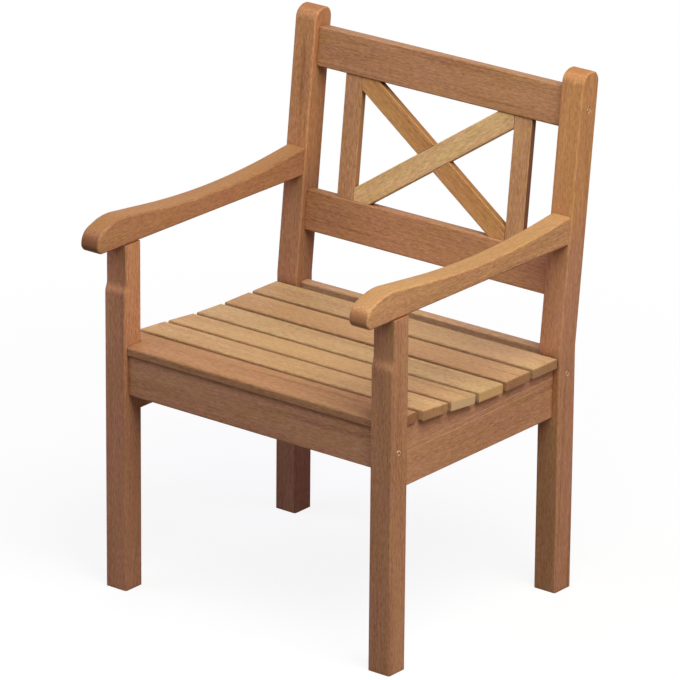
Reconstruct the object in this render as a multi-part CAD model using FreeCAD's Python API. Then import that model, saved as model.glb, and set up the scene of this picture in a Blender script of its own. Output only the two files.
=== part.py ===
import FreeCAD, Part
import math
import os
from FreeCAD import Vector

# Slatted armchair with a crossed back. Lengths are millimetres, angles degrees.
# X runs across the seat, Y from front to back, Z up. Every piece is first drawn
# with Y counted from the front face of the front legs, then the whole chair is
# moved so that its origin is on the floor, in the middle of its outline.

os.makedirs("parts", exist_ok=True)

# Frame
overall_width = 600.0
frame_depth = 492.5
leg_width = 44.0
front_leg_depth = 42.0
post_depth = 44.0
bend_height = 431.0
back_lean = 6.0
leg_edge_bevel = 2.4

# Front leg, thinner above a step in its front face
step_depth = 4.7
step_height = 20.0
step_below_arm = 67.5

# Back post, rounded over at the top
post_top_front_radius = 22.0
post_top_rear_radius = 18.0

# Armrest
arm_width = 38.0
arm_height = 608.5
arm_crest = 52.2
arm_overhang = 63.5
arm_edge_radius = 4.0
# Corners of the side outline before rounding, from the underside of the nose over the
# crest and the dip to the post: share of the reach, share of the crest, and how much
# of the shorter side beside it each corner's arc takes
arm_corner_shares = [
    (0.0, 0.0, 0.42), (0.0037, 0.642, 0.55), (0.098, 1.0, 0.43),
    (0.6046, 0.4617, 0.77), (1.0, 0.935, 0.0)]

# Seat rails
rail_thickness = 20.0
rail_edge_radius = 2.5
side_rail_height = 91.5
side_rail_inset = 14.0
apron_height = 69.5
apron_setback = 9.0
back_seat_rail_height = 72.0
back_seat_rail_lip = 3.5
back_seat_rail_setback = 11.5

# Seat slats, rising towards the front
slat_count = 6
front_slat_width = 71.0
slat_gap = 10.0
slat_thickness = 17.0
slat_edge_radius = 2.5
slat_end_inset = 3.0
slat_post_gap = 4.0
nose_setback = 5.0
nose_edge_radius = 4.0
tab_inset = 9.0
slat_leg_gap = 0.5
seat_rear_height = 418.5
seat_crest_height = 434.0
seat_crest_place = 45.0
seat_flat_place = 300.0

# Cleats under the slats
cleat_width = 18.0
cleat_height = 24.0
cleat_end_gap = 8.0

# Back rails, measured along the leaning face of the posts from the bend
back_rail_thickness = 22.0
top_rail_height = 69.3
back_rail_setback = 11.0
back_rail_edge_radius = 3.0
back_opening_height = 214.0
lower_rail_place = 83.8
lower_rail_height = 71.0
top_rail_drop = 28.5

# Uprights and crossed slats between the back rails
lath_thickness = 13.0
lath_setback = 14.0
lath_edge_bevel = 1.2
stile_width = 36.0
stile_post_gap = 61.5
cross_width = 37.5

# Tenons, glued except for the stub tenons, which bolts draw tight
joint_clearance = 0.1
joint_end_gap = 1.0
mortise_wall = 3.0
back_tenon_length = 24.0
seat_tenon_thickness = 10.0
seat_tenon_height = 47.0
seat_tenon_shoulder = 10.0
arm_tenon_thickness = 14.0
arm_tenon_height = 26.0
arm_tenon_shoulder = 9.0
leg_tenon_width = 18.0
leg_tenon_depth = 22.0
leg_tenon_length = 26.0
back_tenon_thickness = 12.0
back_tenon_height = 45.0
stub_tenon_thickness = 12.0
stub_tenon_height = 44.0
stub_tenon_length = 12.0
lath_tenon_thickness = 5.0
lath_tenon_length = 8.0
stile_tenon_width = 24.0
cross_tenon_width = 18.0
cross_tenon_length = 6.0
cross_tenon_corner_gap = 7.0

# Bolts and barrel nuts of the knock-down frame
bolt_diameter = 6.0
bolt_length = 70.0
bolt_head_diameter = 11.0
bolt_head_height = 3.0
bolt_head_proud = 0.8
bolt_socket_width = 4.0
bolt_socket_depth = 2.0
bolt_clearance = 0.2
thread_clearance = 0.05
nut_diameter = 10.0
nut_length = 14.0
nut_place = 26.0
hidden_sides = 12

# Wood screws under the seat
screw_diameter = 4.0
screw_head_diameter = 8.0
screw_head_height = 3.0
screw_sink = 0.6
screw_sides = 6
slat_screw_length = 34.0
cleat_screw_length = 32.0
cleat_screw_count = 3

# Extra reach of every cut beyond the face it opens
overrun = 5.0

half_width = overall_width / 2
post_inner = half_width - leg_width
post_middle = half_width - leg_width / 2
post_front = frame_depth - post_depth
lean_tan = math.tan(math.radians(back_lean))
opening_bottom = lower_rail_place + lower_rail_height
opening_top = opening_bottom + back_opening_height
back_run = opening_top + top_rail_height + top_rail_drop
post_height = bend_height + back_run * math.cos(math.radians(back_lean))
stile_place = post_inner - stile_post_gap - stile_width
axis_x = Vector(1, 0, 0)
axis_y = Vector(0, 1, 0)
axis_z = Vector(0, 0, 1)


def post_front_at(height):
    return post_front + max(height - bend_height, 0) * lean_tan


def block(limits):
    x0, x1, y0, y1, z0, z1 = limits
    return Part.makeBox(x1 - x0, y1 - y0, z1 - z0, Vector(x0, y0, z0))


def grown(limits):
    """Room for a tenon: the joint clearance on every side."""
    c = joint_clearance
    return tuple(v - c if i % 2 == 0 else v + c for i, v in enumerate(limits))


def rod(place, direction, diameter, length):
    return Part.makeCylinder(diameter / 2, length, place, direction)


def polygon_rod(place, direction, width, length, sides):
    """Bar with that many flat sides, width across its corners."""
    turn = FreeCAD.Rotation(axis_z, direction)
    angles = [2 * math.pi * k / sides for k in range(sides)]
    ring = [place + turn.multVec(Vector(math.cos(a), math.sin(a), 0)) * (width / 2) for a in angles]
    return Part.Face(Part.makePolygon(ring + ring[:1])).extrude(direction * length)


def prism(outline, x0, x1):
    """Board of a side outline: points of Y and Z, from x0 to x1."""
    points = [Vector(x0, y, z) for y, z in outline]
    face = Part.Face(Part.makePolygon(points + points[:1]))
    return face.extrude(Vector(x1 - x0, 0, 0))


def tangent_arc(start, direction, end):
    """Arc from start, leaving along direction, to end."""
    chord = end - start
    across = chord - direction * chord.dot(direction)
    radius = chord.dot(chord) / (2 * across.Length)
    centre = start + across * (radius / across.Length)
    outward = (start + end) * 0.5 - centre
    return Part.Arc(start, centre + outward * (radius / outward.Length), end).toShape()


def rounded_line(points, shares):
    """Lines through the points, with an arc at each inner one as long as its share allows."""
    edges, last = [], points[0]
    for before, corner, after, share in zip(points, points[1:], points[2:], shares):
        back, ahead = before - corner, after - corner
        cut = share * min(back.Length, ahead.Length)
        start = corner + back * (cut / back.Length)
        end = corner + ahead * (cut / ahead.Length)
        edges += [Part.makeLine(last, start), tangent_arc(start, back * (-1 / back.Length), end)]
        last = end
    return edges + [Part.makeLine(last, points[-1])]


def other_side(shape):
    return shape.mirror(Vector(0, 0, 0), axis_x)


def both(shapes):
    return shapes + [other_side(s) for s in shapes]


def leaned(shape):
    """Tips a piece drawn upright on the bend line back to the slope of the posts."""
    tipped = shape.copy()
    tipped.rotate(Vector(0, post_front, bend_height), axis_x, -back_lean)
    return tipped


def cut_all(shape, tools):
    return shape.cut(tools) if tools else shape


def on_planes(shape, planes, skip=None):
    """Edges that lie in one of the planes x = value, without those that skip names."""
    found = []
    for edge in shape.Edges:
        box = edge.BoundBox
        flat = box.XLength < joint_clearance
        near = any(abs(box.Center.x - value) < joint_clearance for value in planes)
        if flat and near and not (skip and skip(edge)):
            found.append(edge)
    return found


def along(shape, direction, keep):
    """Straight edges in a direction, those whose middle keep accepts."""
    found = []
    for edge in shape.Edges:
        if not isinstance(edge.Curve, Part.Line):
            continue
        if edge.tangentAt(edge.FirstParameter).cross(direction).Length < 1e-6 and keep(edge.CenterOfMass):
            found.append(edge)
    return found


def save(name, shapes):
    shapes = shapes if isinstance(shapes, list) else [shapes]
    moved = [s.translated(Vector(0, -middle_y, 0)) for s in shapes]
    whole = moved[0] if len(moved) == 1 else Part.makeCompound(moved)
    whole.exportStep(os.path.join("parts", name + ".step"))
    solids = sum(len(s.Solids) for s in moved)
    print(name, "solids", solids, "valid", whole.isValid(), "volume", round(whole.Volume))


def save_pair(name, shape):
    save(name + "_right", shape)
    save(name + "_left", other_side(shape))


# The rearmost point is on the round at the top of the posts
round_height = post_height - post_top_rear_radius
rear_reach = (post_front_at(round_height) + post_depth
              - post_top_rear_radius * (math.sqrt(1 + lean_tan ** 2) - 1))
middle_y = (rear_reach - arm_overhang) / 2


# Seat line

def seat_height(y):
    """Height of the slats' upper face: level at the back, a soft crest in front."""
    u = min(abs(y - seat_crest_place) / (seat_flat_place - seat_crest_place), 1)
    return seat_rear_height + (seat_crest_height - seat_rear_height) * (1 + math.cos(math.pi * u)) / 2


def slat_spans():
    """Front and rear edge of each slat. Those behind the front one share what is left."""
    rear_edge = nose_setback + front_slat_width
    spans = [(nose_setback, rear_edge)]
    pitch = (post_front - slat_post_gap - rear_edge) / (slat_count - 1)
    for k in range(slat_count - 1):
        spans.append((rear_edge + k * pitch + slat_gap, rear_edge + (k + 1) * pitch))
    return spans


class Slat:
    """Place of one slat: front upper corner, slope and underside."""

    def __init__(self, span):
        self.front, self.rear = span
        run = self.rear - self.front
        rise = seat_height(self.rear) - seat_height(self.front)
        self.angle = math.atan2(rise, run)
        self.width = math.hypot(run, rise)
        self.height = seat_height(self.front)

    def under(self, y):
        """Height of the underside above a place y."""
        drop = slat_thickness / math.cos(self.angle)
        return self.height + (y - self.front) * math.tan(self.angle) - drop

    def under_front(self):
        return self.front + slat_thickness * math.sin(self.angle)

    def under_rear(self):
        return self.under_front() + self.width * math.cos(self.angle)

    def placed(self, shape):
        """Moves a board drawn level, upper front edge on the X axis, to its seat."""
        shape = shape.copy()
        shape.rotate(Vector(0, 0, 0), axis_x, math.degrees(self.angle))
        return shape.translated(Vector(0, self.front, self.height))


slats = [Slat(span) for span in slat_spans()]


def under_line(start, end):
    """Underside of the slats between two places, as points of Y and Z."""
    points = [(start, slats[0].under(start))]
    for slat in slats:
        for y in (slat.under_front(), slat.under_rear()):
            if start < y < end:
                points.append((y, slat.under(y)))
    points.append((end, slats[-1].under(slats[-1].under_rear())))
    return points


def seat_board(length, width):
    board = block((-length / 2, length / 2, 0, width, -slat_thickness, 0))
    top = [e for e in board.Edges if abs(e.BoundBox.ZMin) < joint_clearance]
    return board.makeFillet(slat_edge_radius, top)


def slat_shape(index):
    slat = slats[index]
    length = overall_width - 2 * slat_end_inset
    if index > 0:
        return slat.placed(seat_board(length, slat.width))
    # The front slat has a nose between the legs and a tab behind each of them
    notch_side = post_inner - slat_leg_gap
    notch_rear = front_leg_depth + slat_leg_gap - slat.front
    half = half_width - tab_inset
    outline = [(-notch_side, 0), (notch_side, 0), (notch_side, notch_rear), (half, notch_rear),
               (half, slat.width), (-half, slat.width), (-half, notch_rear), (-notch_side, notch_rear)]
    points = [Vector(x, y, -slat_thickness) for x, y in outline]
    board = Part.Face(Part.makePolygon(points + points[:1])).extrude(Vector(0, 0, slat_thickness))
    nose = along(board, axis_x, lambda c: abs(c.y) < joint_clearance)
    board = board.makeFillet(nose_edge_radius, nose)
    rear = along(board, axis_x, lambda c: c.y > slat.width - joint_clearance and c.z > -joint_clearance)
    return slat.placed(board.makeFillet(slat_edge_radius, rear))


# Joints, right-hand side

side_rail_outer = half_width - side_rail_inset
side_rail_inner = side_rail_outer - rail_thickness
side_rail_middle = side_rail_outer - rail_thickness / 2
side_rail_bottom = slats[-1].under(slats[-1].under_rear()) - side_rail_height
apron_bottom = slats[0].under(apron_setback) - apron_height
back_seat_rail_top = seat_rear_height + back_seat_rail_lip
apron_middle = apron_setback + rail_thickness / 2
back_seat_rail_front = post_front + back_seat_rail_setback
back_seat_rail_middle = back_seat_rail_front + rail_thickness / 2
back_rail_middle = back_rail_setback + back_rail_thickness / 2
lath_middle = lath_setback + lath_thickness / 2


def seat_tenon(front):
    """Tenon of the side rail, in the front leg or in the post, short of the bolt there."""
    bottom = side_rail_bottom + seat_tenon_shoulder
    keep_off = bolt_diameter / 2 + bolt_clearance + mortise_wall
    y0, y1 = ((apron_middle + keep_off, front_leg_depth + overrun) if front
              else (post_front - overrun, back_seat_rail_middle - keep_off))
    half = seat_tenon_thickness / 2
    return (side_rail_middle - half, side_rail_middle + half, y0, y1, bottom, bottom + seat_tenon_height)


def arm_tenon():
    bottom = arm_height + arm_tenon_shoulder
    face = post_front_at(bottom)
    half = arm_tenon_thickness / 2
    length = back_rail_middle - back_tenon_thickness / 2 - mortise_wall
    return (post_middle - half, post_middle + half, face - overrun, face + length,
            bottom, bottom + arm_tenon_height)


def leg_tenon():
    middle = (step_depth + front_leg_depth) / 2
    return (post_middle - leg_tenon_width / 2, post_middle + leg_tenon_width / 2,
            middle - leg_tenon_depth / 2, middle + leg_tenon_depth / 2,
            arm_height - overrun, arm_height + leg_tenon_length)


def upright_limits(x0, x1, setback, thickness, bottom, top):
    """Limits of a piece of the back before it is leaned."""
    return (x0, x1, post_front + setback, post_front + setback + thickness,
            bend_height + bottom, bend_height + top)


def back_tenon():
    bottom = lower_rail_place + (lower_rail_height - back_tenon_height) / 2
    setback = back_rail_middle - back_tenon_thickness / 2
    return upright_limits(post_inner - overrun, post_inner + back_tenon_length, setback,
                          back_tenon_thickness, bottom, bottom + back_tenon_height)


def stile_tenon(upper):
    middle = stile_place + stile_width / 2
    half = stile_tenon_width / 2
    setback = lath_middle - lath_tenon_thickness / 2
    v0, v1 = ((opening_top - overrun, opening_top + lath_tenon_length) if upper
              else (opening_bottom - lath_tenon_length, opening_bottom + overrun))
    return upright_limits(middle - half, middle + half, setback, lath_tenon_thickness, v0, v1)


def cross_tenon(upper):
    outer = stile_place - cross_tenon_corner_gap
    setback = lath_middle - lath_tenon_thickness / 2
    v0, v1 = ((opening_top - overrun, opening_top + cross_tenon_length) if upper
              else (opening_bottom - cross_tenon_length, opening_bottom + overrun))
    return upright_limits(outer - cross_tenon_width, outer, setback, lath_tenon_thickness, v0, v1)


def room(limits, end=None):
    """Mortise for a tenon, with a glue gap at its far end. End is the index of that limit."""
    limits = list(grown(limits))
    if end is not None:
        limits[end] += joint_end_gap if end % 2 else -joint_end_gap
    return block(limits)


def stub_tenon(middle, bottom, rail_height):
    """Short tenon on a bolted rail's end. Middle is the depth of the rail's centre."""
    low = bottom + (rail_height - stub_tenon_height) / 2
    half = stub_tenon_thickness / 2
    return (post_inner - overrun, post_inner + stub_tenon_length, middle - half, middle + half,
            low, low + stub_tenon_height)


def apron_tenon():
    return stub_tenon(apron_middle, apron_bottom, apron_height)


def back_seat_tenon():
    bottom = back_seat_rail_top - back_seat_rail_height
    return stub_tenon(back_seat_rail_middle, bottom, back_seat_rail_height)


def top_tenon():
    return stub_tenon(post_front + back_rail_middle, bend_height + opening_top, top_rail_height)


class Bolt:
    """A bolt through the leg or post into the end of a rail, with its barrel nut."""

    def __init__(self, y, z, nut_from, nut_sink, lean=False):
        self.y, self.z, self.lean = y, z, lean
        self.nut_from, self.nut_sink = nut_from, nut_sink
        self.seat = half_width - bolt_head_height + bolt_head_proud
        self.end = self.seat - bolt_length
        self.nut_x = post_inner - nut_place

    def turn(self, shapes):
        return [leaned(s) if self.lean else s for s in shapes]

    def at(self, x):
        return Vector(x, self.y, self.z)

    def hole(self, diameter):
        """Bore from the leg's outer face to just past the bolt's end."""
        start = self.end - joint_end_gap
        return polygon_rod(self.at(start), axis_x, diameter, half_width + overrun - start,
                           hidden_sides)

    def body(self):
        head = rod(self.at(self.seat), axis_x, bolt_head_diameter, bolt_head_height)
        shank = polygon_rod(self.at(self.end), axis_x, bolt_diameter, bolt_length, hidden_sides)
        bottom = self.seat + bolt_head_height - bolt_socket_depth
        corners = bolt_socket_width / math.cos(math.pi / 6)
        socket = polygon_rod(self.at(bottom), axis_x, corners, bolt_socket_depth + overrun, 6)
        return self.turn([head.fuse(shank).removeSplitter().cut(socket)])

    def nut(self):
        start = Vector(self.nut_x, self.y - nut_length / 2, self.z)
        nut = polygon_rod(start, axis_y, nut_diameter, nut_length, hidden_sides)
        return self.turn([nut.cut(self.hole(bolt_diameter + 2 * thread_clearance))])

    def holes(self):
        """What is drilled for the bolt, its head and the nut."""
        head = rod(self.at(self.seat), axis_x, bolt_head_diameter + 2 * bolt_clearance,
                   bolt_head_height + overrun)
        reach = nut_length / 2 + joint_clearance
        start = Vector(self.nut_x, self.y - self.nut_from * reach, self.z)
        bore = polygon_rod(start, Vector(0, self.nut_from, 0), nut_diameter + 2 * joint_clearance,
                           2 * reach + self.nut_sink + overrun, hidden_sides)
        return self.turn([self.hole(bolt_diameter + 2 * bolt_clearance), head, bore])


# Nuts are pressed in from the inner face of the seat's rails and from behind at the top
seat_nut_sink = (rail_thickness - nut_length) / 2
back_nut_sink = (back_rail_thickness - nut_length) / 2
bolts = [
    Bolt(apron_middle, apron_bottom + apron_height / 2, 1, seat_nut_sink),
    Bolt(back_seat_rail_middle, back_seat_rail_top - back_seat_rail_height / 2, -1, seat_nut_sink),
    Bolt(post_front + back_rail_middle, bend_height + opening_top + top_rail_height / 2, 1,
         back_nut_sink, lean=True)]
apron_bolt, seat_bolt, top_bolt = bolts


# Legs, posts and arms

def front_leg():
    step_top = arm_height - step_below_arm
    middle = Vector(post_inner, step_depth / 2, step_top - step_height / 2)
    low = Vector(post_inner, 0, step_top - step_height)
    high = Vector(post_inner, step_depth, step_top)
    corners = [high, Vector(post_inner, step_depth, arm_height),
               Vector(post_inner, front_leg_depth, arm_height), Vector(post_inner, front_leg_depth, 0),
               Vector(post_inner, 0, 0), low]
    sides = [Part.makeLine(a, b) for a, b in zip(corners, corners[1:])]
    # An S of two equal arcs, upright at both ends
    s_curve = [tangent_arc(low, axis_z, middle), tangent_arc(high, -axis_z, middle)]
    face = Part.Face(Part.Wire(Part.sortEdges(s_curve + sides)[0]))
    leg = face.extrude(Vector(leg_width, 0, 0))
    ends = lambda edge: edge.BoundBox.ZLength < joint_clearance
    leg = leg.makeChamfer(leg_edge_bevel, on_planes(leg, (post_inner, half_width), ends))
    leg = leg.fuse(block(leg_tenon())).removeSplitter()
    return cut_all(leg, [room(seat_tenon(True), 2), room(apron_tenon(), 1)] + apron_bolt.holes())


def back_post():
    rear = frame_depth
    shift = (post_height - bend_height) * lean_tan
    post = prism([(post_front, 0), (rear, 0), (rear, bend_height), (rear + shift, post_height),
                  (post_front + shift, post_height), (post_front, bend_height)], post_inner, half_width)
    middle = post_front + shift + post_depth / 2
    at_top = lambda c: abs(c.z - post_height) < joint_clearance
    post = post.makeFillet(post_top_front_radius, along(post, axis_x, lambda c: at_top(c) and c.y < middle))
    post = post.makeFillet(post_top_rear_radius, along(post, axis_x, lambda c: at_top(c) and c.y > middle))
    foot = lambda edge: edge.BoundBox.ZMax < joint_clearance
    post = post.makeChamfer(leg_edge_bevel, on_planes(post, (post_inner, half_width), foot))
    mortises = [room(seat_tenon(False), 3), room(arm_tenon(), 3), leaned(room(back_tenon(), 1)),
                room(back_seat_tenon(), 1), leaned(room(top_tenon(), 1))]
    return cut_all(post, mortises + seat_bolt.holes() + top_bolt.holes())


def armrest():
    x0 = post_middle - arm_width / 2
    reach = post_front_at(arm_height + arm_crest) + arm_overhang
    corners = [(along_share * reach - arm_overhang, arm_height + up_share * arm_crest)
               for along_share, up_share, _ in arm_corner_shares]
    corners[-1] = (post_front_at(corners[-1][1]), corners[-1][1])
    points = [Vector(x0, y, z) for y, z in corners]
    rear = Vector(x0, post_front_at(arm_height), arm_height)
    edges = rounded_line([rear] + points, [share for _, _, share in arm_corner_shares[:-1]])
    edges.append(Part.makeLine(points[-1], rear))
    arm = Part.Face(Part.Wire(edges)).extrude(Vector(arm_width, 0, 0))
    rear_face = post_front_at(arm_height) - joint_clearance
    at_post = lambda edge: edge.BoundBox.YMin > rear_face
    arm = arm.makeFillet(arm_edge_radius, on_planes(arm, (x0, x0 + arm_width), at_post))
    arm = arm.fuse(block(arm_tenon())).removeSplitter()
    return cut_all(arm, [room(leg_tenon(), 5)])


# Seat frame

def side_seat_rail():
    line = under_line(front_leg_depth, post_front)
    outline = [(front_leg_depth, side_rail_bottom), (post_front, side_rail_bottom)] + line[::-1]
    rail = prism(outline, side_rail_inner, side_rail_outer)
    lower = along(rail, axis_y, lambda c: abs(c.z - side_rail_bottom) < joint_clearance)
    rail = rail.makeFillet(rail_edge_radius, lower)
    for front in (True, False):
        rail = rail.fuse(block(seat_tenon(front)))
    return cut_all(rail.removeSplitter(), [s for screw in cleat_screws() for s in screw.room()])


def with_tenons(rail, tenon):
    """Adds a tenon to both ends of a rail that runs across the chair."""
    for piece in both([block(tenon)]):
        rail = rail.fuse(piece)
    return rail.removeSplitter()


def front_seat_rail():
    y0, y1 = apron_setback, apron_setback + rail_thickness
    outline = [(y0, apron_bottom), (y1, apron_bottom), (y1, slats[0].under(y1)), (y0, slats[0].under(y0))]
    rail = prism(outline, -post_inner, post_inner)
    lower = along(rail, axis_x, lambda c: abs(c.z - apron_bottom) < joint_clearance)
    rail = with_tenons(rail.makeFillet(rail_edge_radius, lower), apron_tenon())
    return cut_all(rail, both(apron_bolt.holes()))


def back_seat_rail():
    y0 = back_seat_rail_front
    rail = block((-post_inner, post_inner, y0, y0 + rail_thickness,
                  back_seat_rail_top - back_seat_rail_height, back_seat_rail_top))
    rail = rail.makeFillet(rail_edge_radius, along(rail, axis_x, lambda c: True))
    return cut_all(with_tenons(rail, back_seat_tenon()), both(seat_bolt.holes()))


cleat_outer = side_rail_inner
cleat_inner = cleat_outer - cleat_width
cleat_middle = cleat_outer - cleat_width / 2
cleat_front = front_leg_depth + cleat_end_gap
cleat_rear = post_front - cleat_end_gap


class Screw:
    """A sunk wood screw, drawn with few sides. Place is the middle of its head's face."""

    def __init__(self, place, direction, length):
        self.place, self.direction, self.length = place, direction, length

    def bars(self, clearance, start):
        """Head and shank, wider and longer by the clearance, the head from start on."""
        wide = screw_head_diameter + 2 * clearance
        narrow = screw_diameter + 2 * clearance
        head = polygon_rod(self.place - self.direction * start, self.direction, wide,
                           start + screw_head_height, screw_sides)
        shank = polygon_rod(self.place, self.direction, narrow, self.length + clearance, screw_sides)
        return [head, shank]

    def body(self):
        head, shank = self.bars(0, 0)
        return head.fuse(shank).removeSplitter()

    def room(self):
        return self.bars(joint_clearance, overrun)


def slat_screws():
    """One screw up through the cleat into the middle of each slat."""
    screws = []
    for slat in slats:
        y = (max(slat.front, cleat_front) + min(slat.rear, cleat_rear)) / 2
        place = Vector(cleat_middle, y, slat.under(y) - cleat_height + screw_sink)
        screws.append(Screw(place, axis_z, slat_screw_length))
    return screws


def cleat_screws():
    """Screws through the cleat into the side rail, at evenly chosen gaps between slats."""
    step = (slat_count - 2) / (cleat_screw_count - 1)
    screws = []
    for k in range(cleat_screw_count):
        index = round(k * step)
        y = (slats[index].rear + slats[index + 1].front) / 2
        place = Vector(cleat_inner + screw_sink, y, slats[index + 1].under(y) - cleat_height / 2)
        screws.append(Screw(place, axis_x, cleat_screw_length))
    return screws


def seat_cleat():
    line = under_line(cleat_front, cleat_rear)
    outline = line + [(y, z - cleat_height) for y, z in reversed(line)]
    cleat = prism(outline, cleat_inner, cleat_outer)
    return cut_all(cleat, [s for screw in slat_screws() + cleat_screws() for s in screw.room()])


# Back

def back_rail(place, height):
    setback, thickness = back_rail_setback, back_rail_thickness
    rail = block(upright_limits(-post_inner, post_inner, setback, thickness, place, place + height))
    return rail.makeFillet(back_rail_edge_radius, along(rail, axis_x, lambda c: True))


def top_back_rail():
    rail = leaned(with_tenons(back_rail(opening_top, top_rail_height), top_tenon()))
    rooms = [leaned(room(stile_tenon(True), 5)), leaned(room(cross_tenon(True), 5))]
    return cut_all(rail, both(rooms + top_bolt.holes()))


def lower_back_rail():
    rail = leaned(with_tenons(back_rail(lower_rail_place, lower_rail_height), back_tenon()))
    rooms = [leaned(room(stile_tenon(False), 4)), leaned(room(cross_tenon(False), 4))]
    return cut_all(rail, both(rooms))


def back_stile():
    stile = block(upright_limits(stile_place, stile_place + stile_width, lath_setback, lath_thickness,
                                 opening_bottom, opening_top))
    stile = stile.makeChamfer(lath_edge_bevel, along(stile, axis_z, lambda c: True))
    for upper in (False, True):
        stile = stile.fuse(block(stile_tenon(upper)))
    return leaned(stile.removeSplitter())


cross_angle = math.degrees(math.atan2(back_opening_height, 2 * stile_place))
cross_middle = Vector(0, post_front + lath_middle, bend_height + (opening_bottom + opening_top) / 2)


def cross_lath(rising, bevel):
    """Long lath through the middle of the opening, from corner to corner."""
    reach = math.hypot(stile_place, back_opening_height / 2) + cross_width
    size = Vector(reach, lath_thickness / 2, cross_width / 2)
    lath = Part.makeBox(2 * size.x, 2 * size.y, 2 * size.z, cross_middle - size)
    if bevel:
        lath = lath.makeChamfer(bevel, along(lath, axis_x, lambda c: True))
    lath.rotate(cross_middle, axis_y, -cross_angle if rising else cross_angle)
    return lath


def cross_slat(rising):
    """One of the two crossed slats. The rising one keeps its front half at the lap."""
    opening = block((-stile_place, stile_place, post_front, post_front + post_depth,
                     bend_height + opening_bottom, bend_height + opening_top))
    slat = cross_lath(rising, lath_edge_bevel).common(opening)
    lap = cross_lath(not rising, 0)
    reach = stile_place + cross_width
    y = cross_middle.y
    y0, y1 = (y, y + lath_thickness) if rising else (y - lath_thickness, y)
    half = block((-reach, reach, y0, y1, bend_height + opening_bottom, bend_height + opening_top))
    slat = slat.cut(lap.common(half))
    upper, lower = block(cross_tenon(True)), block(cross_tenon(False))
    pair = (upper, other_side(lower)) if rising else (other_side(upper), lower)
    inside = cross_lath(rising, 0)
    for tenon in pair:
        slat = slat.fuse(tenon.cut(opening)).fuse(tenon.common(inside).common(opening))
    return leaned(slat.removeSplitter())


save_pair("front_leg", front_leg())
save_pair("back_post", back_post())
save_pair("armrest", armrest())
save_pair("side_seat_rail", side_seat_rail())
save("front_seat_rail", front_seat_rail())
save("back_seat_rail", back_seat_rail())

screw_rooms = [s for screw in slat_screws() for s in screw.room()]
for index in range(slat_count):
    spot = "front" if index == 0 else "rear" if index == slat_count - 1 else str(index + 1)
    save("seat_slat_" + spot, cut_all(slat_shape(index), both(screw_rooms)))

save_pair("seat_cleat", seat_cleat())
save("top_back_rail", top_back_rail())
save("lower_back_rail", lower_back_rail())
save_pair("back_stile", back_stile())
save("cross_slat_front", cross_slat(True))
save("cross_slat_rear", cross_slat(False))
save("frame_bolts", both([s for bolt in bolts for s in bolt.body()]))
save("barrel_nuts", both([s for bolt in bolts for s in bolt.nut()]))
save("slat_screws", both([screw.body() for screw in slat_screws()]))
save("cleat_screws", both([screw.body() for screw in cleat_screws()]))
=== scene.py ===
import math
import bmesh
import bpy
import numpy as np
from mathutils import Matrix, Vector


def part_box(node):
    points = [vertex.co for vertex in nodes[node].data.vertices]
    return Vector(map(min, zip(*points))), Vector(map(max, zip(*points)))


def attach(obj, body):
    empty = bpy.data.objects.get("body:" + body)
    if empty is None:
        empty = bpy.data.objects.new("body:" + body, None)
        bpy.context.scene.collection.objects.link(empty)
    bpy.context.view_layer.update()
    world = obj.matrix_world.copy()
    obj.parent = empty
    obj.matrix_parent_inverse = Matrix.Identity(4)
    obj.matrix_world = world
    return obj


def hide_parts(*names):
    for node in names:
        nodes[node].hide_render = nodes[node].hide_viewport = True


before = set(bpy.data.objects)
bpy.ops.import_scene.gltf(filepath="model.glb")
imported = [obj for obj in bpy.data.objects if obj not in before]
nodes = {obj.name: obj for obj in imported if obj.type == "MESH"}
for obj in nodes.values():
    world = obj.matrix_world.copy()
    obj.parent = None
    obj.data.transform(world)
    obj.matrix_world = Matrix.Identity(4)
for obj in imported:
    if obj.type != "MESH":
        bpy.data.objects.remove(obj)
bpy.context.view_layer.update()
print("frame loaded:", len(nodes), "nodes")


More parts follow.
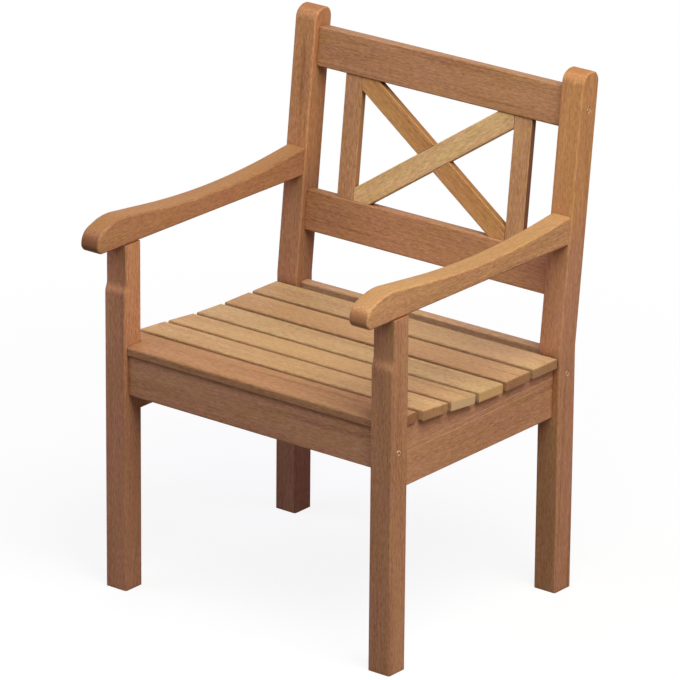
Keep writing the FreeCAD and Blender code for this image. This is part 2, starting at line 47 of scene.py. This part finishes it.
class Wire:
    # an output of a shader node; + - * / ** on it, with wires or numbers, add Math nodes
    def __init__(self, tree, socket=None):
        self.tree, self.socket = tree, socket

    # any other node: its type, its settings, which go first, and what its sockets get
    def add(self, kind, settings={}, inputs={}, output=0):
        node = self.tree.nodes.new(kind)
        for name, value in settings.items():
            if name == "stops":
                ramp = node.color_ramp.elements
                ramp.remove(ramp[1])
                ramp[0].position, ramp[0].color = value[0][0], (*value[0][1], 1)
                for place, colour in value[1:]:
                    ramp.new(place).color = (*colour, 1)
            else:
                setattr(node, name, value)
        for name, value in inputs.items():
            if isinstance(value, Wire):
                self.tree.links.new(value.socket, node.inputs[name])
            else:
                node.inputs[name].default_value = value
        return Wire(self.tree, node.outputs[output]) if node.outputs else None

    def maths(self, operation, first, second=0.0, clamp=False):
        return self.add("ShaderNodeMath", {"operation": operation, "use_clamp": clamp},
                        {0: first, 1: second})

    def __add__(self, other):
        return self.maths("ADD", self, other)

    def __radd__(self, other):
        return self.maths("ADD", other, self)

    def __sub__(self, other):
        return self.maths("SUBTRACT", self, other)

    def __rsub__(self, other):
        return self.maths("SUBTRACT", other, self)

    def __mul__(self, other):
        return self.maths("MULTIPLY", self, other)

    def __rmul__(self, other):
        return self.maths("MULTIPLY", other, self)

    def __truediv__(self, other):
        return self.maths("DIVIDE", self, other)

    def __rtruediv__(self, other):
        return self.maths("DIVIDE", other, self)

    def __pow__(self, other):
        return self.maths("POWER", self, other)

    def unsigned(self):
        return self.maths("ABSOLUTE", self)

    def between(self, low, high):  # 0 below low, 1 above high, smooth from one to the other
        return self.add("ShaderNodeMapRange", {"interpolation_type": "SMOOTHSTEP"},
                        {"Value": self, "From Min": low, "From Max": high})

    def vector(self, operation, other, output="Vector"):
        return self.add("ShaderNodeVectorMath", {"operation": operation},
                        {0: self, 1: other}, output)

    def along(self, letter):
        return self.add("ShaderNodeSeparateXYZ", {}, {0: self}, letter)

    # clouds about 1/lengthwise metres long and 1/crosswise metres wide, around 0.5
    def noise(self, lengthwise, crosswise, detail=2.0, rough=0.5):
        stretched = self.vector("MULTIPLY", (lengthwise, crosswise, crosswise))
        return self.add("ShaderNodeTexNoise", {}, {"Vector": stretched, "Scale": 1.0,
                                                   "Detail": detail, "Roughness": rough}, "Fac")

    def blend(self, amount, other, mode="MIX"):  # another colour laid over this one
        return self.add("ShaderNodeMix", {"data_type": "RGBA", "blend_type": mode},
                        {0: amount, 6: self, 7: other}, 2)


def newMaterial(name):
    material = bpy.data.materials.new(name)
    material.use_nodes = True
    material.node_tree.nodes.clear()
    return material, Wire(material.node_tree)


wood = {
    "dark": (0.270, 0.110, 0.052),
    "middle": (0.505, 0.245, 0.118),
    "pale": (0.690, 0.385, 0.200),
    "tones": (0.10, 0.50, 0.92),     # where on the scale of tones these three stand
    "ringWidth": 0.0042,             # metres from one growth ring to the next
    "ringSlant": (0.018, 0.026),     # how far the pith strays across and outward, per metre
    "ringWander": 0.016,             # metres
    "ringUneven": 0.7,               # ring widths
    "ringCurve": 2.2,                # a year darkens slowly, by this power,
    "ringEnd": 0.90,                 # up to this share of it, and ends at once
    "yearStrength": (0.45, 0.75),    # the least a year shows, and how much more some show
    "ringStrength": 0.08,
    "driftStrength": 0.50,
    "streakStrength": 0.24,
    "fleckStrength": 0.80,
    "fibreStrength": 0.44,
    "veinStrength": 0.14,
    "poreStrength": 0.30,
    "poreColour": (0.160, 0.062, 0.030),
    "lines": (),                     # pale lines of grain: metres across, slope, half width
    "lineStrength": 0.26,
    "lineWander": 0.004,             # metres
    "mottle": 0.45,                  # how far patches turn golden or pinkish,
    "patchEdge": (0.35, 0.65),       # and the part of the noise over which they change
    "golden": (0.985, 1.015, 0.90),
    "pinkish": (1.02, 0.975, 1.09),
    "endGrain": 0.45,                # how far the sawn ends go to endColour
    "endColour": (0.290, 0.112, 0.048),
    "sideShade": 0.0,                # painted shade: how far the narrow faces go to their darker side colour
    "sideShadeColour": (0.270, 0.110, 0.052),
    "wornEdgeAndHighlight": 0.05,                # how far the edges go to pale: rubbed wear, and painted highlight where rounded edges catch the light
    "softEdge": 0.0016,              # metres, radius that sanding leaves on the edges
    "bend": (0.02, 0.25),            # how far the rounded normal leaves the flat one there
    "gapReach": 0.016,               # metres over which a gap between boards is felt, for the painted shade in gaps
    "gapOpen": (0.15, 0.65),         # the daylight left in deep gaps and in open ones, between which the painted shade fades
    "gapShadeTint": (0.58, 0.37, 0.37),   # what the deepest gaps are multiplied by: painted shade
    "farLightTint": (1.0, 1.0, 1.0),      # what the far end is multiplied by: painted light and shade, for how the light falls there
    "farFrom": 0.12,                 # metres from the middle of the board to where that starts
    "farOver": 0.12,                 # and over which it grows to its full
    "roughness": 0.64,
    "gloss": 0.06,
    "bump": 0.75,
}
clouds = {  # clouds of noise per metre with the grain and across it, detail, roughness
    "ringWander": (2.4, 11.0),
    "ringUneven": (5.0, 40.0, 1.0),
    "drift": (1.6, 13.0, 2.0, 0.55),    # slow change of tone over the board
    "streak": (3.4, 150.0, 3.0, 0.6),   # some millimetres wide
    "fleck": (95.0, 430.0, 2.0, 0.65),
    "fibre": (34.0, 800.0, 2.0, 0.6),
    "pore": (95.0, 2100.0, 1.0),
    "vein": (1.5, 62.0, 2.0),           # few, dark, some millimetres wide
    "lineWander": (7.0, 7.0),
    "broadHue": (9.0, 42.0, 2.0),
    "fineHue": (38.0, 130.0, 2.0),
    "wear": (30.0, 60.0),
}
relief = {"fibre": 0.10, "pore": 0.09, "ring": 0.05, "streak": 0.04}   # millimetres
dullness = {"fibre": 0.16, "pore": 0.14, "end": 0.12, "edge": 0.05}    # of the roughness
crest = (0.60, 0.72)      # the part of a noise that makes pores and veins
facing = (0.72, 0.96)     # cosines from which a face counts as an end or a side
seedStep = (0.37, 0.71, 0.53)    # metres from one seed's grain to the next


def woodMaterial(name, centre, grain, face, pith, seed, tint, look):
    # board coordinates: x with the grain, y across the board, z out of its wide face
    lengthwise = Vector(grain).normalized()
    outward = (Vector(face) - lengthwise * lengthwise.dot(Vector(face))).normalized()
    crosswise = outward.cross(lengthwise)
    turn = Matrix((lengthwise, crosswise, outward))
    material, start = newMaterial(name)
    place = start.add("ShaderNodeTexCoord", output="Object")
    board = start.add("ShaderNodeMapping", {}, {
        "Vector": place, "Location": -(turn @ centre), "Rotation": turn.to_euler("XYZ")})
    tree = board.vector("ADD", tuple(step * seed for step in seedStep))
    x, y, z = [board.along(letter) for letter in "XYZ"]

    # growth rings: the distance to a slightly slanted pith, a little wandering, in ring widths
    across = y + x * look["ringSlant"][0] - pith[0]
    deep = z + x * look["ringSlant"][1] - pith[1]
    radius = ((across * across + deep * deep) ** 0.5
              + (tree.noise(*clouds["ringWander"]) - 0.5) * look["ringWander"])
    turns = (radius / look["ringWidth"]
             + (tree.noise(*clouds["ringUneven"]) - 0.5) * look["ringUneven"])
    year = turns.add("ShaderNodeTexWhiteNoise", {"noise_dimensions": "1D"},
                     {"W": turns.maths("FLOOR", turns)}, "Value")
    season = turns.maths("FRACT", turns)
    least, more = look["yearStrength"]
    ring = (season ** look["ringCurve"] * (1.0 - season.between(look["ringEnd"], 1.0))
            * (least + more * year))

    drift, streak, fleck, fibre = [tree.noise(*clouds[kind]) - 0.5
                                   for kind in ("drift", "streak", "fleck", "fibre")]
    pore, vein = [tree.noise(*clouds[kind]).between(*crest) for kind in ("pore", "vein")]
    tone = (0.5 + drift * look["driftStrength"] + streak * look["streakStrength"]
            + fleck * look["fleckStrength"] + fibre * look["fibreStrength"]
            - ring * look["ringStrength"] - vein * look["veinStrength"])
    for offset, slope, halfWidth in look["lines"]:
        away = (y - offset - x * slope
                + (tree.noise(*clouds["lineWander"]) - 0.5) * look["lineWander"])
        tone = tone + (1.0 - away.unsigned().between(0.0, halfWidth)) * look["lineStrength"]
    colour = tone.add("ShaderNodeValToRGB", {"stops": tuple(zip(
        look["tones"], (look["dark"], look["middle"], look["pale"])))}, {"Fac": tone}, "Color")
    for patch in ("broadHue", "fineHue"):
        hue = start.add("ShaderNodeMix", {"data_type": "RGBA"}, {
            0: tree.noise(*clouds[patch]).between(*look["patchEdge"]),
            6: (*look["golden"], 1), 7: (*look["pinkish"], 1)}, 2)
        colour = colour.blend(look["mottle"], hue, "MULTIPLY")
    colour = colour.blend(pore * look["poreStrength"], (*look["poreColour"], 1))

    # sawn ends; narrow sides, darkened as painted shade; and edges, paler with rubbed wear and
    # painted highlight, found where the rounded normal leaves the flat one
    normal = start.add("ShaderNodeNewGeometry", output="Normal")
    rounded = start.add("ShaderNodeBevel", {"samples": 4}, {"Radius": look["softEdge"]})
    end = normal.vector("DOT_PRODUCT", tuple(lengthwise), "Value").unsigned().between(*facing)
    colour = colour.blend(end * look["endGrain"], (*look["endColour"], 1))
    # painted shade: the narrow faces, which get less light, go towards a darker colour
    if look["sideShade"]:
        side = normal.vector("DOT_PRODUCT", tuple(crosswise), "Value").unsigned().between(*facing)
        colour = colour.blend(side * look["sideShade"], (*look["sideShadeColour"], 1))
    # edges paler: rubbed wear, and painted highlight where the rounded edge catches light
    edge = (1.0 - normal.vector("DOT_PRODUCT", rounded, "Value")).between(*look["bend"])
    edge = edge * (0.5 + tree.noise(*clouds["wear"]))
    colour = colour.blend(edge * look["wornEdgeAndHighlight"], (*look["pale"], 1))
    colour = colour.blend(1.0, (*tint, 1), "MULTIPLY")

    # painted shade: gaps are darker and redder, where less light reaches; and the far end of a
    # board may differ a little, as painted light
    daylight = start.add("ShaderNodeAmbientOcclusion", {"samples": 6},
                         {"Distance": look["gapReach"]}, "AO")
    gap = 1.0 - daylight.between(*look["gapOpen"])
    colour = colour.blend(gap, (*look["gapShadeTint"], 1), "MULTIPLY")
    # painted light: the far end of a board brighter or darker, as the light falls there
    far = x.between(look["farFrom"], look["farFrom"] + look["farOver"])
    colour = colour.blend(far, (*look["farLightTint"], 1), "MULTIPLY")

    height = (fibre * relief["fibre"] - pore * relief["pore"] - ring * relief["ring"]
              + streak * relief["streak"])
    bump = height.add("ShaderNodeBump", {}, {
        "Strength": look["bump"], "Distance": 0.001, "Height": height, "Normal": rounded})
    rough = (look["roughness"] + fibre * dullness["fibre"] + pore * dullness["pore"]
             + end * dullness["end"] - edge * dullness["edge"])
    shader = colour.add("ShaderNodeBsdfPrincipled", {}, {
        "Base Color": colour, "Normal": bump, "Specular IOR Level": look["gloss"],
        "Roughness": rough})
    shader.add("ShaderNodeOutputMaterial", {}, {"Surface": shader})
    return material


# pith: metres across and out of the face, from the middle of the board to the tree's middle;
# tint: what the colour is multiplied by; changes: what this board has in place of wood's values
def finishBoard(name, grain, face, pith, seed, tint=(1.0, 1.0, 1.0), **changes):
    low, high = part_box(name)
    material = woodMaterial(name + "Wood", (Vector(low) + Vector(high)) / 2,
                            grain, face, pith, seed, tint, {**wood, **changes})
    for slot in nodes[name].material_slots:
        slot.material = material


# how the back leans, in degrees, how steep its crossed slats lie in it, and how far the
# grain of the bent posts leans
back = {"lean": 6.0, "crossAngle": 34.3, "postGrain": (0, 0.03, 1)}
lean = math.radians(back["lean"])
upBack = (0.0, math.sin(lean), math.cos(lean))
outBack = (0.0, -math.cos(lean), math.sin(lean))

# the far-end tints here are painted light: upper ends brighter and more golden where more light
# falls, the left post's above the arm's shadow
legs = {
    "front_leg_right": {"pith": (0.05, -0.07), "seed": 1.0, "tint": (1.052, 1.066, 1.088)},
    "front_leg_left": {"pith": (-0.09, -0.03), "seed": 2.0, "tint": (1.071, 1.018, 1.094),
                       "farLightTint": (1.10, 1.14, 1.10), "farFrom": 0.04},
    "back_post_right": {"pith": (0.10, -0.05), "seed": 3.0, "tint": (1.030, 1.000, 1.060),
                        "farLightTint": (1.10, 1.09, 0.86)},
    # this post's narrow faces get painted shade
    "back_post_left": {"pith": (-0.06, -0.08), "seed": 4.0, "tint": (0.930, 0.925, 1.020),
                       "farLightTint": (1.34, 1.33, 1.15), "sideShade": 0.35},
}
for name, board in legs.items():
    grain = (0, 0, 1) if "leg" in name else back["postGrain"]
    finishBoard(name, grain, (0, -1, 0), **board)
print("legs and posts finished")

# on the arms the narrow faces are the top and the underside: their darker tops are painted shade
arms = {
    "armrest_right": {"pith": (0.11, -0.03), "seed": 5.0, "tint": (1.273, 1.365, 1.291),
                      "face": (1, 0, 0), "sideShade": 0.5, "sideShadeColour": (0.311, 0.167, 0.066)},
    "armrest_left": {"pith": (-0.08, -0.06), "seed": 6.0, "tint": (0.892, 0.879, 0.865),
                     "face": (-1, 0, 0), "sideShade": 0.5, "sideShadeColour": (0.445, 0.221, 0.066)},
}
# the arms' sawn ends go darker than other boards': end grain, and painted shade on the nose; their
# edges paler: rubbed wear and painted highlight
armLook = {"endGrain": 0.62, "wornEdgeAndHighlight": 0.35}
for name, board in arms.items():
    finishBoard(name, (0, 1, 0), **armLook, **board)
print("armrests finished")

rails = {
    "side_seat_rail_right": {"pith": (0.10, -0.02), "seed": 7.0, "face": (1, 0, 0),
                             "tint": (1.167, 1.219, 1.230),
                             "lines": ((0.007, 0.010, 0.0022), (0.016, 0.012, 0.0016))},
    "side_seat_rail_left": {"pith": (-0.10, -0.04), "seed": 8.0, "face": (-1, 0, 0)},
    "front_seat_rail": {"pith": (0.06, -0.08), "seed": 9.0, "face": (0, -1, 0),
                        "tint": (1.087, 1.115, 1.177)},
    "back_seat_rail": {"pith": (-0.12, -0.03), "seed": 10.0, "face": (0, -1, 0),
                       "tint": (1.094, 1.280, 1.442)},
    "seat_cleat_right": {"pith": (0.05, -0.06), "seed": 11.0, "face": (1, 0, 0)},
    "seat_cleat_left": {"pith": (0.07, -0.05), "seed": 12.0, "face": (-1, 0, 0)},
}
for name, board in rails.items():
    grain = (0, 1, 0) if "side" in name or "cleat" in name else (1, 0, 0)
    finishBoard(name, grain, **board)
print("seat rails and cleats finished")

# the slats' edges are paler: rubbed wear and painted highlight
slatLook = {"mottle": 0.20, "wornEdgeAndHighlight": 0.38, "endColour": (0.340, 0.115, 0.050)}
seat = {
    "seat_slat_front": {"pith": (0.09, -0.05), "seed": 13.0, "tint": (0.876, 0.905, 0.878)},
    "seat_slat_2": {"pith": (-0.11, -0.04), "seed": 14.0, "tint": (1.131, 1.381, 1.337)},
    "seat_slat_3": {"pith": (0.07, -0.08), "seed": 15.0, "tint": (1.081, 1.310, 1.228),
                    "endGrain": 0.85, "endColour": (0.715, 0.385, 0.215)},
    "seat_slat_4": {"pith": (0.13, -0.03), "seed": 16.0, "tint": (1.129, 1.473, 1.449),
                    "endGrain": 0.75, "endColour": (0.665, 0.295, 0.120)},
    "seat_slat_5": {"pith": (-0.08, -0.06), "seed": 17.0, "tint": (1.068, 1.261, 1.234)},
    "seat_slat_rear": {"pith": (0.10, -0.02), "seed": 18.0, "tint": (1.080, 1.337, 1.365)},
}
for name, board in seat.items():
    finishBoard(name, (1, 0, 0), (0, 0, 1), **{**slatLook, **board})
print("seat slats finished")

slant = math.radians(back["crossAngle"])
rising, falling = [Vector((side * math.cos(slant), 0, 0)) + Vector(upBack) * math.sin(slant)
                   for side in (1, -1)]
# the narrow faces of the rails, stiles and crossed slats get painted shade
backBoards = {
    "top_back_rail": {"grain": (1, 0, 0), "pith": (0.06, -0.05), "seed": 19.0,
                      "tint": (1.086, 1.121, 1.155), "veinStrength": 0.26, "sideShade": 0.5,
                      "sideShadeColour": (0.240, 0.130, 0.060)},
    "lower_back_rail": {"grain": (1, 0, 0), "pith": (-0.05, -0.07), "seed": 20.0,
                        "tint": (1.120, 1.143, 1.190), "sideShade": 0.5,
                        "sideShadeColour": (0.270, 0.125, 0.045)},
    "back_stile_right": {"grain": upBack, "pith": (0.09, -0.02), "seed": 21.0,
                         "tint": (1.240, 1.380, 1.395), "sideShade": 1.0,
                         "sideShadeColour": (0.205, 0.078, 0.050)},
    "back_stile_left": {"grain": upBack, "pith": (-0.10, -0.03), "seed": 22.0,
                        "tint": (1.231, 1.339, 1.415), "sideShade": 1.0,
                        "sideShadeColour": (0.340, 0.148, 0.067)},
    "cross_slat_front": {"grain": rising, "pith": (0.12, -0.02), "seed": 23.0,
                         "tint": (1.567, 2.047, 2.010), "sideShade": 0.3},
    "cross_slat_rear": {"grain": falling, "pith": (-0.11, -0.03), "seed": 24.0,
                        "tint": (1.214, 1.233, 1.015), "sideShade": 0.7},
}
for name, board in backBoards.items():
    finishBoard(name, face=outBack, **board)
print("back finished")

metals = {
    "brass": {"bright": (0.66, 0.42, 0.22), "dull": (0.20, 0.095, 0.032), "roughness": 0.18},
    "zinc": {"bright": (0.62, 0.62, 0.60), "dull": (0.38, 0.37, 0.35), "roughness": 0.42},
}
wear = {  # metres, and clouds of noise as above
    "tarnish": (160.0, 160.0, 3.0, 0.6), "tarnished": (0.35, 0.70), "tarnishDullness": 0.18,
    "scratch": (300.0, 4200.0, 2.0), "scratchDepth": 0.0001, "scratchDullness": 0.08,
    "softEdge": 0.0004, "bend": (0.02, 0.3), "bump": 0.4,
}


def metalMaterial(name, look):
    # drawn metal: cloudy tarnish, fine scratches along x, as the bolts lie, brighter edges, which
    # are rubbed rims and painted highlight
    material, start = newMaterial(name)
    place = start.add("ShaderNodeTexCoord", output="Object")
    tarnish = place.noise(*wear["tarnish"]).between(*wear["tarnished"])
    scratch = place.noise(*wear["scratch"])
    rounded = start.add("ShaderNodeBevel", {"samples": 4}, {"Radius": wear["softEdge"]})
    normal = start.add("ShaderNodeNewGeometry", output="Normal")
    edge = (1.0 - normal.vector("DOT_PRODUCT", rounded, "Value")).between(*wear["bend"])
    # the edges take the bright colour: rubbed rims and painted highlight
    colour = start.add("ShaderNodeMix", {"data_type": "RGBA"}, {
        0: tarnish * (1.0 - edge), 6: (*look["bright"], 1), 7: (*look["dull"], 1)}, 2)
    bump = scratch.add("ShaderNodeBump", {}, {
        "Strength": wear["bump"], "Distance": wear["scratchDepth"], "Height": scratch,
        "Normal": rounded})
    shader = colour.add("ShaderNodeBsdfPrincipled", {}, {
        "Base Color": colour, "Metallic": 1.0, "Normal": bump,
        "Roughness": (look["roughness"] + tarnish * wear["tarnishDullness"]
                      + scratch * wear["scratchDullness"])})
    shader.add("ShaderNodeOutputMaterial", {}, {"Surface": shader})
    return material


brass = metalMaterial("boltBrass", metals["brass"])
zinc = metalMaterial("zincedSteel", metals["zinc"])
for name in ("barrel_nuts", "slat_screws", "cleat_screws"):
    for slot in nodes[name].material_slots:
        slot.material = zinc

bolts = {  # metres; a place is y and z of the axis, and the lean that turns the socket
    "places": ((-0.218891, 0.381348, 0.0), (0.232109, 0.386, 0.0), (0.274661, 0.829940, lean)),
    # x of the head's top, of its underside, of the thread's beginning and of the tip
    "top": 0.3008, "foot": 0.2978, "threadFrom": 0.2518, "end": 0.2278,
    # radii of the head, the shank and the socket, and how far the dome falls to the rim
    "head": 0.0055, "shank": 0.0030, "socket": 0.0020, "fall": 0.0018,
    "pitch": 0.0010, "threadDepth": 0.0004,
    # the socket's lip, row by row: how far below the top, share of its radius, hexagon share
    "lip": ((0.0020, 0.0, 1.0), (0.0020, 1.0, 1.0), (0.0003, 1.0, 1.0), (0.0001, 1.08, 0.8)),
    "mouth": 1.22,             # share of the socket's radius at which the dome begins
    "domeShare": 0.98,         # of the quarter ellipse, so that the rim isn't quite upright
    "domeRows": 12, "bunching": 1.6,    # rows lie closer where the dome is steeper
    "turnRows": 6,             # rows of each turn of the thread
    "tip": (0.85, 0.70), "tipLength": 0.0006,    # shares of the shank's radius
}


def boltSurfaces(look, sides=48):
    # rows of x along the axis, radius and hexagon share are carried round the axis:
    # hexagon share 1 gives the flats of the socket, 0 a circle; on the thread the radius
    # sinks and rises with the sine of x / pitch less the angle; the head is a dome
    # that falls from the socket to the rim as a quarter of an ellipse
    top, head = look["top"], look["head"]
    crown = 1 - (1 - np.linspace(0, 1, look["domeRows"])) ** look["bunching"]
    inner = look["socket"] * look["mouth"]
    thread = np.arange(look["threadFrom"], look["end"], -look["pitch"] / look["turnRows"])
    wide, narrow = look["tip"]
    parts = [
        [(top - deep, look["socket"] * share, hexagon) for deep, share, hexagon in look["lip"]],
        np.stack([top - look["fall"] * (1 - np.sqrt(1 - look["domeShare"] * crown ** 2)),
                  inner + (head - inner) * crown, 0 * crown], 1),
        [(look["foot"], head, 0), (look["foot"], look["shank"], 0)],
        np.stack([thread, look["shank"] + 0 * thread, -1 + 0 * thread], 1),
        [(look["end"] + look["tipLength"], look["shank"] * wide, 0),
         (look["end"], look["shank"] * narrow, 0), (look["end"], 0, 0)]]
    rows = np.concatenate([np.array(part, float) for part in parts])
    along, radius, form = (rows[:, i, None] for i in range(3))
    angle = np.linspace(0, 2 * np.pi, sides, endpoint=False)[None, :]
    flats = 1 / np.cos(np.mod(angle, np.pi / 3) - np.pi / 6) - 1
    groove = look["threadDepth"] / 2 * (1 - np.sin(2 * np.pi * along / look["pitch"] - angle))
    radius = radius * (1 + np.maximum(form, 0) * flats) - (form < 0) * groove
    points, faces = [], []
    grid = np.arange(rows.shape[0] * sides).reshape(-1, sides)
    quads = np.stack([grid[:-1], np.roll(grid[:-1], -1, 1), np.roll(grid[1:], -1, 1), grid[1:]], -1)
    for side in (1, -1):
        for y, z, turn in look["places"]:
            faces.append(quads.reshape(-1, 4) + len(points) * grid.size)
            points.append(np.stack(np.broadcast_arrays(
                side * along, y + radius * np.cos(angle + turn), z + radius * np.sin(angle + turn)),
                -1).reshape(-1, 3))
    return np.concatenate(points), np.concatenate(faces)


def surfacePiece(name, points, faces, material, smooth=35):
    mesh = bpy.data.meshes.new(name)
    mesh.from_pydata(points.tolist(), [], faces.tolist())
    shape = bmesh.new()
    shape.from_mesh(mesh)
    bmesh.ops.remove_doubles(shape, verts=shape.verts, dist=0.000004)
    bmesh.ops.recalc_face_normals(shape, faces=shape.faces)
    shape.to_mesh(mesh)
    shape.free()
    mesh.materials.append(material)
    mesh.shade_smooth()
    mesh.set_sharp_from_angle(angle=math.radians(smooth))
    piece = bpy.data.objects.new(name, mesh)
    bpy.context.collection.objects.link(piece)
    return piece


boltSet = surfacePiece("bolt_set", *boltSurfaces(bolts), brass)
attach(boltSet, "root")
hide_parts("frame_bolts")
print("bolts made")

studio = {
    "floorSize": 16.0, "floorSeen": 0.15, "floorGlow": 0.87, "floorLit": 0.22,
    "glowGrows": (0.7, 1.9),  # metres from the middle over which the floor goes to plain white
    "ambient": 0.06, "ambientColour": (1.0, 1.0, 1.0),
    # a soft box above, to the right and a little in front: metres and watts
    "softBox": {"place": (1.25, -0.62, 2.60), "aim": (0.0, 0.0, 0.45), "size": 2.0,
                "power": 54.0, "colour": (0.95, 1.07, 0.81)},
    # very soft light from the left in front, the right and, low, from behind: azimuth,
    # elevation and softness in degrees
    "skies": ({"azimuth": -45.0, "elevation": 45.0, "strength": 0.84, "softness": 50.0,
               "colour": (1.0, 0.914, 1.324)},
              {"azimuth": 90.0, "elevation": 45.0, "strength": 0.88, "softness": 50.0,
               "colour": (1.086, 0.766, 1.150)},
              {"azimuth": 225.0, "elevation": 5.0, "strength": 1.1, "softness": 60.0,
               "colour": (1.0, 0.95, 1.05)}),
}


def seenDirectly(start):  # 1 for rays from the camera, off metal or through glass, else 0
    camera, glossy, clear = [start.add("ShaderNodeLightPath", output=ray) for ray in (
        "Is Camera Ray", "Is Glossy Ray", "Is Transmission Ray")]
    return start.maths("ADD", camera + glossy, clear, clamp=True)


def floorMaterial(look):
    material, start = newMaterial("studioFloor")
    lit = start.add("ShaderNodeBsdfDiffuse", {}, {"Color": (*[look["floorLit"]] * 3, 1)})
    pale = start.add("ShaderNodeBsdfDiffuse", {}, {"Color": (*[look["floorSeen"]] * 3, 1)})
    glow = start.add("ShaderNodeEmission", {}, {"Strength": look["floorGlow"]})
    near = start.add("ShaderNodeAddShader", {}, {0: pale, 1: glow})
    far = start.add("ShaderNodeEmission", {}, {"Strength": 1.0})
    place = start.add("ShaderNodeTexCoord", output="Object")
    reach = place.vector("LENGTH", (0.0, 0.0, 0.0), "Value").between(*look["glowGrows"])
    seen = start.add("ShaderNodeMixShader", {}, {0: reach, 1: near, 2: far})
    surface = start.add("ShaderNodeMixShader", {}, {0: seenDirectly(start), 1: lit, 2: seen})
    start.add("ShaderNodeOutputMaterial", {}, {"Surface": surface})
    return material


half = studio["floorSize"] / 2
corners = np.array([(-half, -half, 0), (half, -half, 0), (half, half, 0), (-half, half, 0)])
floor = surfacePiece("floor", corners, np.array([(0, 1, 2, 3)]), floorMaterial(studio))

world = bpy.data.worlds.new("studio")
bpy.context.scene.world = world
world.use_nodes = True
world.node_tree.nodes.clear()
sky = Wire(world.node_tree)
lights = sky.add("ShaderNodeBackground", {}, {
    "Color": (*studio["ambientColour"], 1), "Strength": studio["ambient"]})
shown = sky.add("ShaderNodeBackground", {}, {"Color": (1, 1, 1, 1), "Strength": 1.0})
mixed = sky.add("ShaderNodeMixShader", {}, {0: seenDirectly(sky), 1: lights, 2: shown})
sky.add("ShaderNodeOutputWorld", {}, {"Surface": mixed})

box = studio["softBox"]
lamp = bpy.data.lights.new("softBox", "AREA")
lamp.shape, lamp.size, lamp.energy, lamp.color = "DISK", box["size"], box["power"], box["colour"]
holder = bpy.data.objects.new("softBox", lamp)
holder.location = box["place"]
backwards = Vector(box["place"]) - Vector(box["aim"])
holder.rotation_euler = backwards.to_track_quat("Z", "Y").to_euler()
bpy.context.collection.objects.link(holder)
for soft in studio["skies"]:
    lamp = bpy.data.lights.new("softSky", "SUN")
    lamp.energy, lamp.color = soft["strength"], soft["colour"]
    lamp.angle = math.radians(soft["softness"])
    holder = bpy.data.objects.new("softSky", lamp)
    holder.rotation_euler = (math.radians(90 - soft["elevation"]), 0, math.radians(soft["azimuth"]))
    bpy.context.collection.objects.link(holder)

# the photograph's view, from the front, 38 degrees round to the right and 20 up: degrees,
# metres from the point that it aims at, and millimetres of lens and sensor
view = {"azimuth": 38.2975, "elevation": 20.3512, "roll": 0.5177, "distance": 9.66193,
        "aim": (-0.018626, 0.030601, 0.426772), "lens": 309.806, "sensor": 36.0}
around, up, roll = (math.radians(view[name]) for name in ("azimuth", "elevation", "roll"))
toward = Vector((math.sin(around) * math.cos(up), -math.cos(around) * math.cos(up), math.sin(up)))
right = (-toward).cross(Vector((0, 0, 1))).normalized()
above = right.cross(-toward)
columns = (right * math.cos(roll) + above * math.sin(roll),
           above * math.cos(roll) - right * math.sin(roll), toward)
camera = bpy.data.objects.new("camera", bpy.data.cameras.new("camera"))
camera.data.lens, camera.data.sensor_width = view["lens"], view["sensor"]
camera.data.clip_end = 100.0
camera.matrix_world = Matrix.Translation(Vector(view["aim"]) + toward * view["distance"]) @ Matrix(
    columns).transposed().to_4x4()
bpy.context.collection.objects.link(camera)
bpy.context.scene.camera = camera
bpy.context.scene.view_settings.view_transform = "Standard"
print("stage, lamps and camera set")
